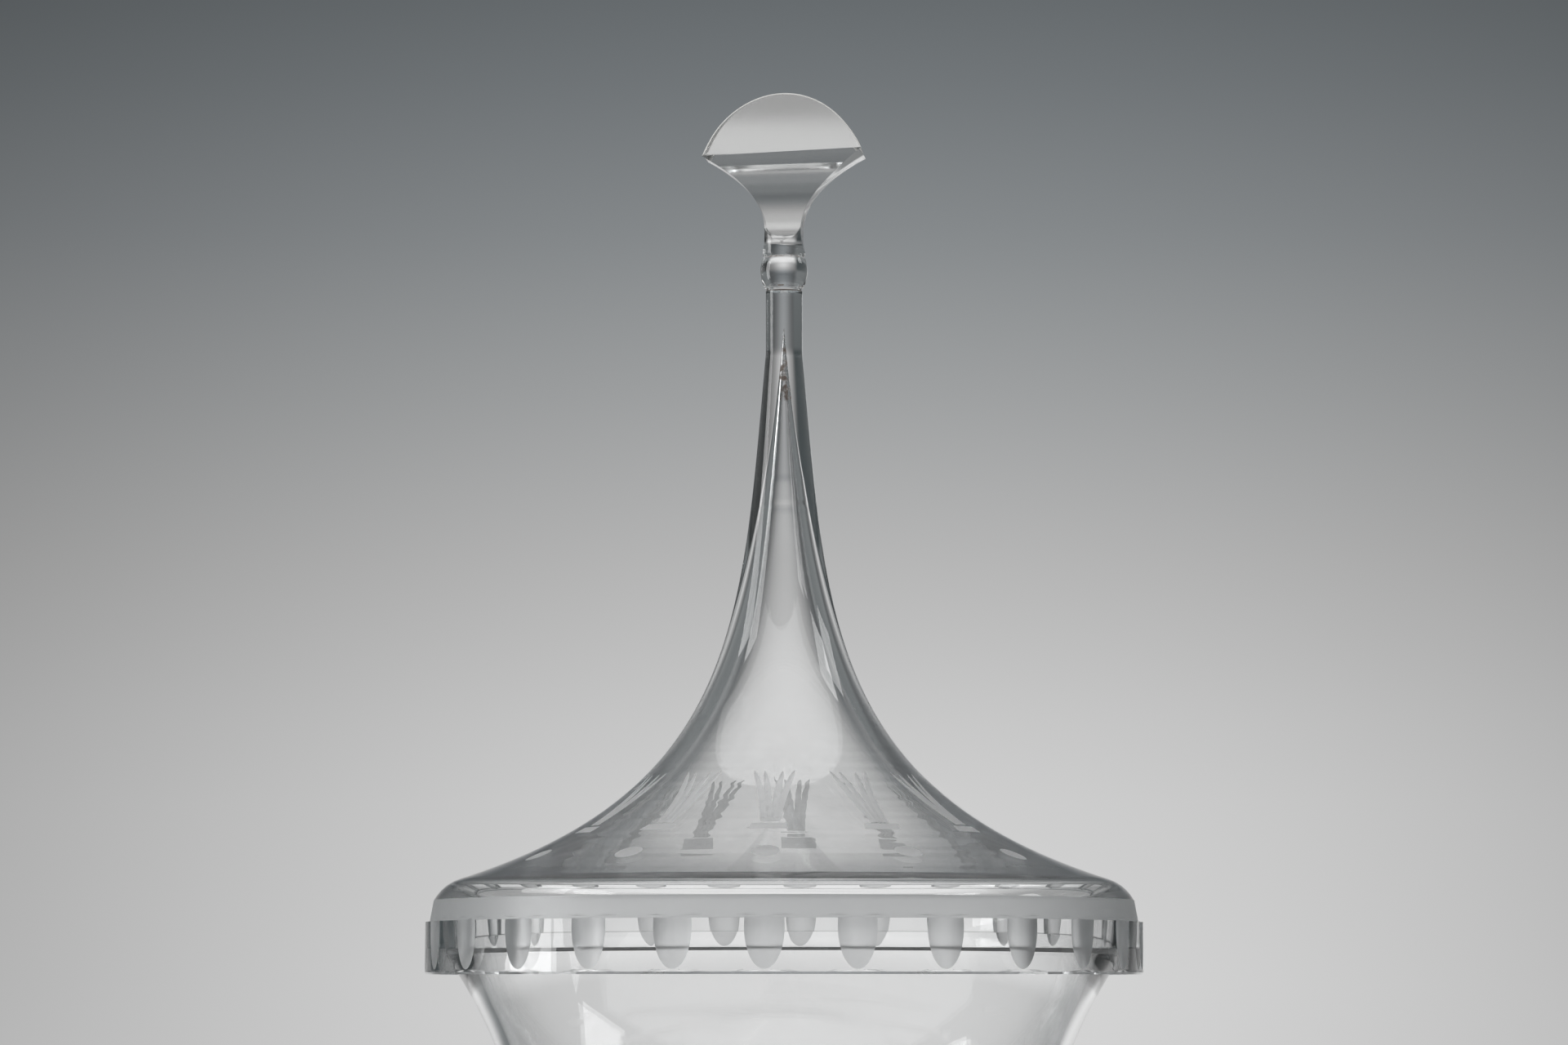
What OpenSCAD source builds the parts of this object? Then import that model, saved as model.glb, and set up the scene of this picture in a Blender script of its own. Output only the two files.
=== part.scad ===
// Covered glass goblet: a bell-shaped bowl on a stem and foot, with a tall spire lid that
// lifts off and ends in a fan finial. Millimetres, +Z up, the origin under the middle of the
// foot on the standing plane. The fan's broad faces look along -Y and +Y.

/* [Bowl] */
// Outer diameter of the flat ground rim
rim_d = 124; // [112:1:136]
// Height of the bowl from the merese to the rim
bowl_h = 96.5; // [84:0.5:120]
// Outer diameter at the waist, where the flare begins
waist_d = 96; // [84:1:104]
// Height of the flare from the waist up to the rim
flare_h = 38.5; // [30:0.5:46]
// Thickness of the bowl's wall
bowl_wall = 2.5; // [2.2:0.1:4]
// Thickness that the wall thins to at the rim
rim_wall = 1.9; // [1.7:0.1:2.2]
// Thickness of the glass in the bowl's floor
floor_t = 7.5; // [5:0.5:10]
// Diameter of the bowl's flat base on the merese
bowl_base_d = 20; // [16:1:24]
// How far the belly keeps upright below the waist
belly_upright = 32; // [20:1:36]
// How far the belly runs level out from the base
belly_level = 24; // [16:1:28]

/* [Lid band] */
// Gap between the bowl's rim and the skirt round it
rim_gap = 0.4; // [0.3:0.05:0.8]
// Thickness of the skirt that reaches down round the rim
skirt_t = 2.6; // [2.2:0.1:4]
// How far the skirt reaches below the top of the rim
skirt_h = 4.5; // [3:0.1:6]
// Height of the band
band_h = 9.4; // [8.5:0.1:12]
// Width of the seat that lies on the rim
seat_w = 1.4; // [1.2:0.1:1.8]
// Chamfer on the band's lower outer edge
band_chamfer = 0.4; // [0.2:0.1:0.8]
// Width of the ledge on top of the band
ledge_w = 0.85; // [0.5:0.05:1.5]
// Height of the matt bevel above the ledge
bevel_h = 3.9; // [3:0.1:5]
// How far the bevel leans in towards its top
bevel_lean = 0.7; // [0.3:0.1:1.2]

/* [Olive cuts] */
// Number of olive cuts round the band
olive_count = 26; // [16:1:30]
// Width of one cut across the band
olive_w = 7; // [5:0.1:8]
// Height of one cut's whole oval, which runs out above the ledge
olive_h = 14.4; // [12:0.1:15]
// Depth of one cut
olive_depth = 0.95; // [0.6:0.05:1.2]
// Height of the middle of a cut above the band's underside
olive_mid = 8; // [7.6:0.1:8.4]
// Turn of the cut nearest to the fan's front face
olive_turn = 3.5; // [-6:0.1:6]

/* [Lid cover] */
// Thickness of the lid's wall
lid_wall = 3.1; // [2.4:0.1:3.2]
// Thickness that the wall thins to at the shoulder
shoulder_wall = 2.2; // [1.8:0.1:2.6]
// Radius of the rounded shoulder above the bevel
shoulder_r = 8; // [6:0.5:10]
// Slope of the shoulder where it drops to the bevel
shoulder_drop = 62; // [50:1:70]
// Slope of the cover where it runs out to the shoulder
cover_slope = 17.8; // [14:0.1:22]
// Radius of the upright line that draws in the spire's curve
spire_pull_r = 7.7; // [6:0.1:10]
// Height above the band's underside to which the spire is drawn in
spire_pull_h = 65.6; // [54:0.1:76]
// Height of the spire above the band's underside, up to the neck
spire_h = 113.7; // [100:0.1:126]
// Diameter of the neck
neck_d = 6.7; // [6.7:0.1:9]
// Length of the straight neck
neck_h = 12; // [8:0.1:16]
// Rise of the hollow's needle point into the neck
needle_h = 4.8; // [2:0.1:6]
// Radius of the hollow where it narrows to the needle point
needle_r = 0.25; // [0.15:0.05:0.4]
// Width of the worn groove on each side of a glass joint
joint_groove = 0.4; // [0.2:0.05:0.6]

/* [Collar bead] */
// Height of the bead between the neck and the fan
bead_h = 6; // [5:0.1:9]
// Largest diameter of the bead
bead_d = 8.7; // [8.4:0.1:11]
// Diameter of the bead's lower end
bead_low_d = 7.3; // [6.9:0.1:8]
// Diameter of the bead's upper end
bead_top_d = 7.9; // [7.7:0.1:8.2]

/* [Fan finial] */
// Height of the fan from the bead to the top of its arc
fan_h = 30.8; // [26:0.1:36]
// Width of the fan across its tips
fan_w = 29.5; // [24:0.1:36]
// Depth of the fan at its ridge
fan_depth = 9; // [6:0.1:10]
// Height of the ridge above the bead
ridge_h = 19; // [15:0.1:21]
// Thickness of the fan at the top of its arc
fan_edge = 0.8; // [0.6:0.1:1.6]
// Outward bulge of the roof between the ridge and the arc
roof_bulge = 0.5; // [0:0.1:0.8]
// Diameter of the fan's round base
fan_base_d = 7.8; // [7:0.1:8.4]
// Height of the round base below the facets
fan_base_h = 1.8; // [1.5:0.1:3]
// Width of the fan at its waist
fan_waist_w = 6.7; // [5.6:0.1:7.2]
// Height of the waist above the bead
fan_waist_h = 5; // [3.6:0.1:6]
// Height above the waist at which the sides begin to spread
fan_spread = 7; // [5:0.1:8]
// Thickness that the hollow facets are drawn in to at the waist
facet_waist_t = 0.6; // [0.2:0.1:2]
// Height of that draw above the round base
facet_waist_h = 3; // [2:0.1:4]
// Thickness that the hollow facets are drawn in to below the ridge
facet_brow_t = 5.2; // [3.5:0.1:6]
// Distance of that draw below the ridge
facet_brow_h = 4.1; // [3:0.1:5]

/* [Stem] */
// Diameter of the merese under the bowl
merese_d = 30; // [28:1:36]
// Thickness of the merese
merese_h = 4; // [3:0.5:6]
// Largest diameter of the knop
knop_d = 23; // [18:1:26]
// Height of the knop
knop_h = 14; // [11:0.5:18]
// Diameter of the knop's upper end
knop_top_d = 17; // [15:0.5:17.5]
// Diameter of the knop's lower end
knop_low_d = 14; // [13.5:0.5:16]
// Height of the stem between the foot and the knop
stem_h = 36; // [28:0.5:60]
// Diameter of the stem at its top
stem_top_d = 13; // [10:0.5:13]
// Diameter of the upright line that draws in the stem
stem_pull_d = 8.4; // [7:0.1:11]
// Height of the stem's lower spread
stem_spread_h = 12; // [8:0.5:14]
// Height of the stem's upper spread
stem_flare_h = 14; // [8:0.5:14]
// Diameter of the stem where it stands on the foot
stem_low_d = 20; // [16:0.5:24]

/* [Foot] */
// Diameter of the foot
foot_d = 100; // [84:1:116]
// Height of the foot from the standing plane to the stem
foot_h = 22; // [18:0.5:28]
// Height of the foot's upright edge
foot_edge_h = 3.5; // [2.5:0.5:5]
// Rounding of the foot's edge
foot_edge_r = 1.2; // [0.6:0.1:1.2]
// Slope of the foot where it runs out to the edge
foot_slope = 9; // [5:0.5:12]
// How far the foot runs straight in from its edge
foot_level = 30; // [22:1:34]
// How far the foot keeps upright below the stem
foot_upright = 10; // [8:0.5:12]
// Width of the ring that the foot stands on
foot_ring_w = 8; // [5:0.5:12]
// Height of the hollow under the foot
foot_hollow_h = 4; // [2:0.5:5]

/* [Hidden] */

clear_glass = [0.83, 0.87, 0.88, 0.45];
satin_glass = [0.90, 0.92, 0.92, 0.8];
around = 96;
coarse_steps = 8;
curve_steps = 16;
fine_steps = 36;
margin = 1;
// Shares along the flare and along the cover's curve between which the walls thin
rim_thin = 0.25;
cover_thin = 0.6;
// Smallest rounding above the lid's seat
least_round = 1;

// Heights of the joints, from the standing plane up
stem_z = foot_h;
knop_z = stem_z + stem_h;
merese_z = knop_z + knop_h;
bowl_z = merese_z + merese_h;
rim_z = bowl_z + bowl_h;
lid_z = rim_z - skirt_h;
neck_z = lid_z + spire_h;
bead_z = neck_z + neck_h;
fan_z = bead_z + bead_h;

// Radii of the lid's band, outward from the rim
rim_r = rim_d / 2;
skirt_r = rim_r + rim_gap;
band_r = skirt_r + skirt_t;
bore_r = rim_r - seat_w;
bevel_r = band_r - ledge_w;

// Points at t along a curve with one or two pull points, and the direction of the curve there
function curve2(a, b, c, t) = (1 - t) ^ 2 * a + 2 * t * (1 - t) * b + t ^ 2 * c;
function curve3(p, t) =
    (1 - t) ^ 3 * p[0] + 3 * t * (1 - t) ^ 2 * p[1] + 3 * t ^ 2 * (1 - t) * p[2] + t ^ 3 * p[3];
function heading3(p, t) =
    let (d = (1 - t) ^ 2 * (p[1] - p[0]) + 2 * t * (1 - t) * (p[2] - p[1]) + t ^ 2 * (p[3] - p[2]))
    d / norm(d);

// A curve of n steps, and a point of it set in by a wall
function along2(a, b, c, n) = [for (i = [0:n]) curve2(a, b, c, i / n)];
function along3(p, n, from = 0) = [for (i = [0:n]) curve3(p, from + (1 - from) * i / n)];
function side(v) = [v[1], -v[0]];
function inset3(p, t, wall) = curve3(p, t) + wall * side(heading3(p, t));

// Walls at t along the bowl's flare, from the rim down, and along the lid's cover, from the neck down
function flare_wall(t) = bowl_wall + (rim_wall - bowl_wall) * max(0, 1 - t / rim_thin) ^ 2;
function cover_wall(t) =
    lid_wall + (shoulder_wall - lid_wall) * max(0, (t - cover_thin) / (1 - cover_thin)) ^ 2;

// Points on an arc about c whose outward normal turns from a0 to a1, measured from +Z
function arc(c, r, a0, a1, n) =
    [for (i = [0:n]) let (a = a0 + (a1 - a0) * i / n) c + r * [sin(a), cos(a)]];

// A solid of revolution from a list of [radius, height]
module turned(outline) {
    rotate_extrude($fn = around) polygon(outline);
}

// A short turned bead between two flat ends, with a groove cut in at each end
module turned_bead(h, low_r, mid_r, top_r, groove) {
    pull = mid_r + sqrt((mid_r - low_r) * (mid_r - top_r));
    bulge = along2([low_r, groove], [pull, h / 2], [top_r, h - groove], curve_steps);
    turned(concat([[0, 0], [low_r - groove, 0]], bulge, [[top_r - groove, h], [0, h]]));
}

// Foot: a low trumpet with a rounded edge, standing on a ring round a shallow hollow
module foot() {
    r = foot_d / 2;
    run_out = [r - foot_edge_r, foot_edge_h];
    top = [stem_low_d / 2, foot_h];
    sweep = [
        top,
        top - [0, foot_upright],
        run_out + foot_level * [-1, tan(foot_slope)],
        run_out
    ];
    edge_top = arc(run_out - [0, foot_edge_r], foot_edge_r, foot_slope, 90, coarse_steps);
    edge_low = arc([run_out[0], foot_edge_r], foot_edge_r, 90, 180, coarse_steps);
    ring_r = r - foot_ring_w;
    dome_r = (ring_r ^ 2 + foot_hollow_h ^ 2) / (2 * foot_hollow_h);
    dome = arc([0, foot_hollow_h - dome_r], dome_r, asin(ring_r / dome_r), 0, coarse_steps);
    color(clear_glass)
        turned(concat([[0, foot_h]], along3(sweep, curve_steps), edge_top, edge_low, dome));
}

// Stem: a drawn rod that slims from the foot up to the knop
module stem() {
    low_r = stem_low_d / 2;
    top_r = stem_top_d / 2;
    pull_r = stem_pull_d / 2;
    drawn = [
        [low_r, 0],
        [pull_r, stem_spread_h],
        [pull_r, stem_h - stem_flare_h],
        [top_r, stem_h - joint_groove]
    ];
    top = [[top_r - joint_groove, stem_h], [0, stem_h]];
    color(clear_glass)
        translate([0, 0, stem_z])
            turned(concat([[0, 0]], along3(drawn, curve_steps), top));
}

// Knop: a solid bead on the stem, the larger sister of the bead on the lid
module stem_knop() {
    color(clear_glass)
        translate([0, 0, knop_z])
            turned_bead(knop_h, knop_low_d / 2, knop_d / 2, knop_top_d / 2, joint_groove);
}

// Merese: a flat disc with a rounded edge between the knop and the bowl
module bowl_merese() {
    edge_r = merese_h / 2;
    edge = arc([merese_d / 2 - edge_r, edge_r], edge_r, 0, 180, curve_steps);
    color(clear_glass)
        translate([0, 0, merese_z])
            turned(concat([[0, merese_h]], edge, [[0, 0]]));
}

// Bowl: a bell that falls from the ground rim to a waist and closes in a round belly
module bowl() {
    waist_r = waist_d / 2;
    base_r = bowl_base_d / 2;
    waist_z = bowl_h - flare_h;
    flare_pull = [waist_r, waist_z + flare_h / 2];
    rim = [rim_r, bowl_h];
    // The flare, raised to a curve with two pull points
    flare = [
        rim,
        rim + (flare_pull - rim) * 2 / 3,
        [waist_r, waist_z] + (flare_pull - [waist_r, waist_z]) * 2 / 3,
        [waist_r, waist_z]
    ];
    belly = [
        [waist_r, waist_z],
        [waist_r, waist_z - belly_upright],
        [base_r + belly_level, 0],
        [base_r, 0]
    ];
    // The wall thickens along the belly to the floor
    steps = curve_steps;
    inside = concat(
        [
            for (i = [0:steps])
                let (t = 1 - i / steps) inset3(belly, t, bowl_wall + (floor_t - bowl_wall) * t ^ 3)
        ],
        [for (i = [1:steps]) let (t = 1 - i / steps) inset3(flare, t, flare_wall(t))]
    );
    outside = concat(along3(flare, steps), along3(belly, steps, 1 / steps));
    color(clear_glass)
        translate([0, 0, bowl_z])
            intersection() {
                turned(concat(outside, [[0, 0], [0, floor_t]], inside));
                cylinder(h = bowl_h, r = rim_r + margin, $fn = around);
            }
}

// One olive cut: the rim of a grinding wheel that leaves an oval of the given width and height
module olive_wheel() {
    edge_r = 1 / (2 * olive_depth / (olive_w / 2) ^ 2 - 1 / band_r);
    wheel_r = (olive_h / 2) ^ 2 / (2 * olive_depth);
    translate([band_r - olive_depth + wheel_r, 0, olive_mid])
        rotate([90, 0, 0])
            rotate_extrude($fn = around)
                translate([wheel_r - edge_r, 0])
                    circle(r = edge_r, $fn = around);
}

// Lid cover: spire, shoulder, matt bevel and band in one, hollow up to a needle point
module lid_cover() {
    neck_r = neck_d / 2;
    neck_top = spire_h + neck_h;
    bevel_top = [bevel_r - bevel_lean, band_h + bevel_h];
    shoulder_c = bevel_top - shoulder_r * [sin(shoulder_drop), cos(shoulder_drop)];
    cover_end = shoulder_c + shoulder_r * [sin(cover_slope), cos(cover_slope)];
    cover_pull = [spire_pull_r, cover_end[1] + (cover_end[0] - spire_pull_r) * tan(cover_slope)];
    spire = [[neck_r, spire_h], [spire_pull_r, spire_pull_h], cover_pull, cover_end];

    neck = [[0, neck_top], [neck_r - joint_groove, neck_top], [neck_r, neck_top - joint_groove]];
    shoulder = arc(shoulder_c, shoulder_r, cover_slope, shoulder_drop, coarse_steps);
    band = [
        [bevel_r, band_h],
        [band_r, band_h],
        [band_r, band_chamfer],
        [band_r - band_chamfer, 0],
        [skirt_r, 0],
        [skirt_r, skirt_h],
        [bore_r, skirt_h]
    ];

    // The hollow: up from the seat, round inside the shoulder, along the cover, to a point in the neck
    inside = [for (i = [0:fine_steps]) let (t = 1 - i / fine_steps) inset3(spire, t, cover_wall(t))];
    run_out = inside[0] - inside[1];
    turn_slope = asin(-run_out[1] / norm(run_out));
    turn_r = max(least_round, (bore_r - inside[0][0]) / (1 - sin(turn_slope)));
    turn_c = inside[0] - turn_r * [sin(turn_slope), cos(turn_slope)];
    seat_round = arc(turn_c, turn_r, 90, turn_slope, coarse_steps);
    hollow = [for (i = [1:fine_steps]) [max(needle_r, inside[i][0]), inside[i][1]]];

    color(clear_glass)
        translate([0, 0, lid_z])
            difference() {
                turned(concat(
                    neck, along3(spire, fine_steps), shoulder, band,
                    seat_round, hollow, [[0, spire_h + needle_h]]
                ));
                for (i = [0:olive_count - 1])
                    rotate([0, 0, olive_turn - 90 + i * 360 / olive_count]) olive_wheel();
            }
}

// Collar bead: a small polished bead between the neck and the fan
module collar_bead() {
    color(clear_glass)
        translate([0, 0, bead_z])
            turned_bead(bead_h, bead_low_d / 2, bead_d / 2, bead_top_d / 2, joint_groove);
}

// The fan seen from the front: base, waist, spreading sides and the arc on top
module fan_front() {
    tip = [fan_w / 2, ridge_h];
    waist = [fan_waist_w / 2, fan_waist_h];
    base_x = fan_base_d / 2;
    sides = concat(
        along2([base_x, fan_base_h / 2], [waist[0], fan_base_h], waist, coarse_steps),
        along2(waist, waist + [0, fan_spread], tip, curve_steps)
    );
    rise = fan_h - ridge_h;
    arc_r = (tip[0] ^ 2 + rise ^ 2) / (2 * rise);
    tip_turn = asin(tip[0] / arc_r);
    top = arc([0, fan_h - arc_r], arc_r, tip_turn, -tip_turn, fine_steps);
    right = concat([[base_x, 0]], sides);
    left = [for (i = [len(right) - 1:-1:0]) [-right[i][0], right[i][1]]];
    polygon(concat(right, top, left));
}

// The fan seen from the side: hollowed facets below the ridge, a narrow roof above it
module fan_side() {
    ridge = [fan_depth / 2, ridge_h];
    edge = [fan_edge / 2, fan_h];
    base = [fan_base_d / 2, fan_base_h];
    facet = [
        base,
        [facet_waist_t / 2, fan_base_h + facet_waist_h],
        [facet_brow_t / 2, ridge_h - facet_brow_h],
        ridge
    ];
    roof = along2(ridge, (ridge + edge) / 2 + [2 * roof_bulge, 0], edge, coarse_steps);
    right = concat([[base[0], 0]], along3(facet, curve_steps), roof);
    left = [for (i = [len(right) - 1:-1:0]) [-right[i][0], right[i][1]]];
    polygon(concat(right, left));
}

// Finial fan: a round blank cut to the front outline and hollowed to the side outline
module finial_fan() {
    base_r = fan_base_d / 2;
    reach = norm([fan_w, fan_depth]) / 2 + margin;
    blank = concat(
        [[0, 0], [base_r - joint_groove / 2, 0], [base_r, joint_groove]],
        along2([base_r, fan_base_h], [base_r, fan_waist_h + fan_spread], [reach, ridge_h], curve_steps),
        [[reach, fan_h + margin], [0, fan_h + margin]]
    );
    color(satin_glass)
        translate([0, 0, fan_z])
            intersection() {
                turned(blank);
                rotate([90, 0, 0])
                    linear_extrude(height = 2 * reach, center = true) fan_front();
                rotate([90, 0, 90])
                    linear_extrude(height = 2 * reach, center = true) fan_side();
            }
}

foot();
stem();
stem_knop();
bowl_merese();
bowl();
lid_cover();
collar_bead();
finial_fan();
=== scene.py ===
import math

import bmesh
import bpy
import numpy as np
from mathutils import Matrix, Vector
from mathutils.geometry import delaunay_2d_cdt


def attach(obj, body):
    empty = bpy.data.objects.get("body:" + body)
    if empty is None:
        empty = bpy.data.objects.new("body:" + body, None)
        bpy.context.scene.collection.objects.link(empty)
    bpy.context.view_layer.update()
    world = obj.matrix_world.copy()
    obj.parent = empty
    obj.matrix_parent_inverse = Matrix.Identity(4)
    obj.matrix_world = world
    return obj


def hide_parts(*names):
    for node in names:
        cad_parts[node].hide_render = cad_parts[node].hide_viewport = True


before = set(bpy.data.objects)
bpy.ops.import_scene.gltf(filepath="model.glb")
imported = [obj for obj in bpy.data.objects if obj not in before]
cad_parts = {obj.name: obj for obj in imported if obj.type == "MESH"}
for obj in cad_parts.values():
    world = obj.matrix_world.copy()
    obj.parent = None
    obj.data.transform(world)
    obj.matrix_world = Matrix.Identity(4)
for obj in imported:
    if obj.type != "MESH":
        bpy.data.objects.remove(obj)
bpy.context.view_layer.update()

# Sizes in millimetres. The lid's hollow and the fan's cut faces differ a little from the part's source
MM = 0.001
STEM_Z = 22.0
KNOP_Z = 58.0
MERESE_Z = 72.0
BOWL_Z = 76.0
LID_Z = 168.0
BEAD_Z = 293.7
FAN_Z = 299.7
JOINT_GROOVE = 0.4
JOINT_SLIT = 0.01

FOOT_NECK_R = 10.0
FOOT_NECK_PULL_H = 12.0
FOOT_RUN_OUT = (48.8, 3.5)
FOOT_PULL = 30.0
FOOT_SLOPE = 9.0
FOOT_EDGE_R = 1.2
FOOT_RING_R = 42.0
FOOT_HOLLOW_H = 4.0
STEM_WAIST_R = 4.2
STEM_WAIST_LOW = 12.0
STEM_WAIST_HIGH = 22.0
STEM_TOP_R = 6.5
KNOP_LOW_R = 7.0
KNOP_MID_R = 11.5
KNOP_TOP_R = 8.5
MERESE_R = 15.0
BEAD_LOW_R = 3.65
BEAD_MID_R = 4.35
BEAD_TOP_R = 3.95

BOWL_H = 96.5
RIM_R = 62.0
BELLY_R = 48.0
BELLY_H = 58.0
BELLY_PULL_H = 26.0
BOWL_LOW_PULL_R = 34.0
BOWL_FOOT_R = 10.0
BOWL_WALL = 2.5
BOWL_FLOOR = 7.5
RIM_WALL = 1.9
RIM_THIN = 0.25
RIM_MARGIN = 0.1
BAND_R = 65.0
BAND_H = 9.4
BAND_CHAMFER = 0.4
SKIRT_R = 62.4
SEAT_H = 4.53
BORE_R = 60.2
BORE_LEAN = 3.5
BEVEL_LOW = (64.15, 9.44)
BEVEL_TOP = (63.45, 13.3)
SHOULDER_R = 8.0
SHOULDER_DROP = 62.0
COVER_SLOPE = 17.8
SPIRE_PULL_R = 7.7
SPIRE_PULL_H = 65.6
SPIRE_H = 113.7
LID_WALL = 3.1
SHOULDER_WALL = 2.2
COVER_THIN = 0.6
NECK_R = 3.35
NECK_TOP = 125.7
NEEDLE_FOOT_H = 91.0
NEEDLE_TOP = 118.5
NEEDLE_PULL = 0.45
NEEDLE_TIP_R = 0.2
RESIDUE_LOW = 105.0
RIPPLE = 0.003
RIPPLE_H = 30.0
RIPPLE_SPREAD = 12.0
# Each wave's share, its turn in radians for each millimetre and its start
RIPPLE_WAVES = ((1.0, 3.4, 0.0), (0.6, 5.3, 1.3))
RING_SWELL = 0.04
RING_SPREAD = 0.3
RING_HEIGHTS = (85.2, 90.7)

OLIVE_COUNT = 26
OLIVE_TURN = 3.5
OLIVE_MID = 8.0
OLIVE_DEPTH = 0.95
OLIVE_HALF_W = 3.5
OLIVE_HALF_H = 7.2

TUFT_COUNT = 12
TUFT_TURN = 2.7
TUFT_BASE_H = 26.4
TUFT_LENGTH = 15.6
# Each blade's place at the foot, place at the tip and length
BLADES = ((-1.25, -3.6, 15.6), (-0.42, -1.75, 15.5), (0.42, 1.5, 15.4), (1.25, 3.6, 15.7))
BLADE_BEND = 1.25
BLADE_BEND_AT = 0.58
BLADE_HALF_W = 0.46
BLADE_SWELL = 0.66
BLADE_DEPTH = 0.09
BAR_DEPTH = 0.03
PRINTY_H = 21.0
PRINTY_R = 2.5
PRINTY_DEPTH = 0.12
BELT_LOW_H = 19.0
BELT_MARGIN = 2.0

FAN_H = 30.8
FAN_HALF_W = 14.75
FAN_EDGE_R = 0.4
FAN_CHAMFER = 0.2
FAN_ARC_TALL = 22.2
ROOF_BULGE = 0.3
RIDGE_H = 19.0
RIDGE_HALF_D = 4.5
RIDGE_TILT = 0.035
RIDGE_TILT_SPREAD = 3.5
FAN_BASE_R = 3.9
FAN_BASE_H = 1.8
FAN_BASE_ROUND = (0.2, 0.4)
FAN_WAIST_R = 3.35
FAN_WAIST_H = 5.0
FAN_SPREAD = 7.0
FACET_FOOT_H = 2.7
FACET_PULLS = ((1.9, 4.4), (0.6, 14.5))

# Mesh density
COLUMNS = 312
BAND_COLUMNS = 2 * COLUMNS
CUT_STEPS = 16
BAND_ROWS = 22
LEDGE_ROWS = 6
BEVEL_CUT_ROWS = (0.3, 0.6, 0.85, 1.0)
BEVEL_ROWS = 9
BEVEL_CLEARANCE = 0.25
CURVE_STEPS = 60
# Millimetres for a radian on the flat picture of the engraved belt
BELT_SCALE = 40.0
BELT_ROW = 0.8
BELT_CLEARANCE = 0.42
SHARP_DEG = 20
FAN_SHARP_DEG = 12

# What a face is: its code rides in the material index while the mesh is built
CLEAR, GROUND, BEVEL, ENGRAVED, JOINT, RESIDUE, SPIRE = range(7)
MATT = (GROUND, BEVEL, ENGRAVED)


# Curves in a plane, as points of (radius, height)
def bezier(pulls, t):
    """Point at t of the Bezier curve with these pull points."""
    p = [np.array(q, float) for q in pulls]
    while len(p) > 1:
        p = [(1 - t) * a + t * b for a, b in zip(p, p[1:])]
    return p[0]


def curve(pulls, steps, start=0.0, end=1.0):
    return [bezier(pulls, start + (end - start) * i / steps) for i in range(steps + 1)]


def heading(pulls, t):
    """Unit direction of the curve at t."""
    nudge = 1e-5
    d = bezier(pulls, t + nudge) - bezier(pulls, t - nudge)
    return d / np.linalg.norm(d)


def inset(pulls, t, wall):
    """Point of the curve at t, set in by a wall."""
    d = heading(pulls, t)
    return bezier(pulls, t) + wall * np.array([d[1], -d[0]])


def arc(centre, radius, start, end, steps):
    """Points on an arc whose outward normal turns from start to end, in degrees from straight up."""
    turns = np.radians(np.linspace(start, end, steps + 1))
    return [np.array(centre) + radius * np.array([math.sin(a), math.cos(a)]) for a in turns]


def turning_point(test, low, high):
    """The last value known to pass and the first known to fail a test that holds from low up."""
    for _ in range(40):
        mid = (low + high) / 2
        if test(mid):
            low = mid
        else:
            high = mid
    return low, high


# Closed skins
class Skin:
    """The points and faces of one piece, in millimetres, with a finish code for each face."""

    def __init__(self):
        self.points = []
        self.faces = []
        self.codes = []

    def add(self, points):
        first = len(self.points)
        self.points.extend(points)
        return list(range(first, len(self.points)))

    def ring(self, radius, height, angles):
        """A ring of points; radius is one number or one for each angle."""
        radii = np.broadcast_to(radius, len(angles))
        return self.add([(r * math.cos(a), r * math.sin(a), height) for r, a in zip(radii, angles)])

    def rings(self, outline, angles, base_z):
        return [self.ring(r, base_z + h, angles) for r, h in outline]

    def pole(self, height):
        return self.add([(0.0, 0.0, height)])

    def face(self, corners, code):
        self.faces.append(corners)
        self.codes.append(code)

    def bridge(self, a, b, code):
        """Faces between two rings of equal count, of 2 to 1, or between a ring and a pole."""
        if len(a) < len(b):
            a, b = b, a
        share = len(a) // len(b) if len(b) > 1 else 0
        for k in range(len(a)):
            n = (k + 1) % len(a)
            if share == 0:
                self.face([a[k], a[n], b[0]], code)
            elif share == 1:
                self.face([a[k], a[n], b[n], b[k]], code)
            elif k % 2 == 0:
                beyond = (k + 2) % len(a)
                self.face([a[k], a[n], a[beyond], b[(k // 2 + 1) % len(b)], b[k // 2]], code)

    def join(self, rows, code):
        for a, b in zip(rows, rows[1:]):
            self.bridge(a, b, code)


def even_angles(count, start=0.0):
    return start + np.arange(count) * 2 * math.pi / count


def turn(skin, outline, codes, angles, base_z):
    """Turns an outline of (radius, height), one code for each segment; None leaves a segment open."""
    rings = []
    for r, h in outline:
        rings.append(skin.pole(base_z + h) if r < 1e-9 else skin.ring(r, base_z + h, angles))
    for i, code in enumerate(codes):
        if code is not None:
            skin.bridge(rings[i], rings[i + 1], code)


def make_piece(name, skin, sharp_deg, material):
    """The finished object of a skin, smooth but for edges over sharp_deg or between two finishes."""
    mesh = bpy.data.meshes.new(name)
    mesh.from_pydata([Vector(p) * MM for p in skin.points], [], skin.faces)
    mesh.polygons.foreach_set("material_index", skin.codes)
    bm = bmesh.new()
    bm.from_mesh(mesh)
    bmesh.ops.remove_doubles(bm, verts=bm.verts, dist=2e-7)
    bmesh.ops.dissolve_degenerate(bm, edges=bm.edges, dist=1e-7)
    bmesh.ops.recalc_face_normals(bm, faces=bm.faces)
    for face in bm.faces:
        face.smooth = True
    limit = math.radians(sharp_deg)
    for edge in bm.edges:
        finishes = {face.material_index in MATT for face in edge.link_faces}
        edge.smooth = len(finishes) == 1 and edge.calc_face_angle(0.0) < limit
    bm.to_mesh(mesh)
    bm.free()
    mark_finishes(mesh)
    mesh.materials.append(material)
    piece = bpy.data.objects.new(name, mesh)
    bpy.context.scene.collection.objects.link(piece)
    return piece


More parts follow.
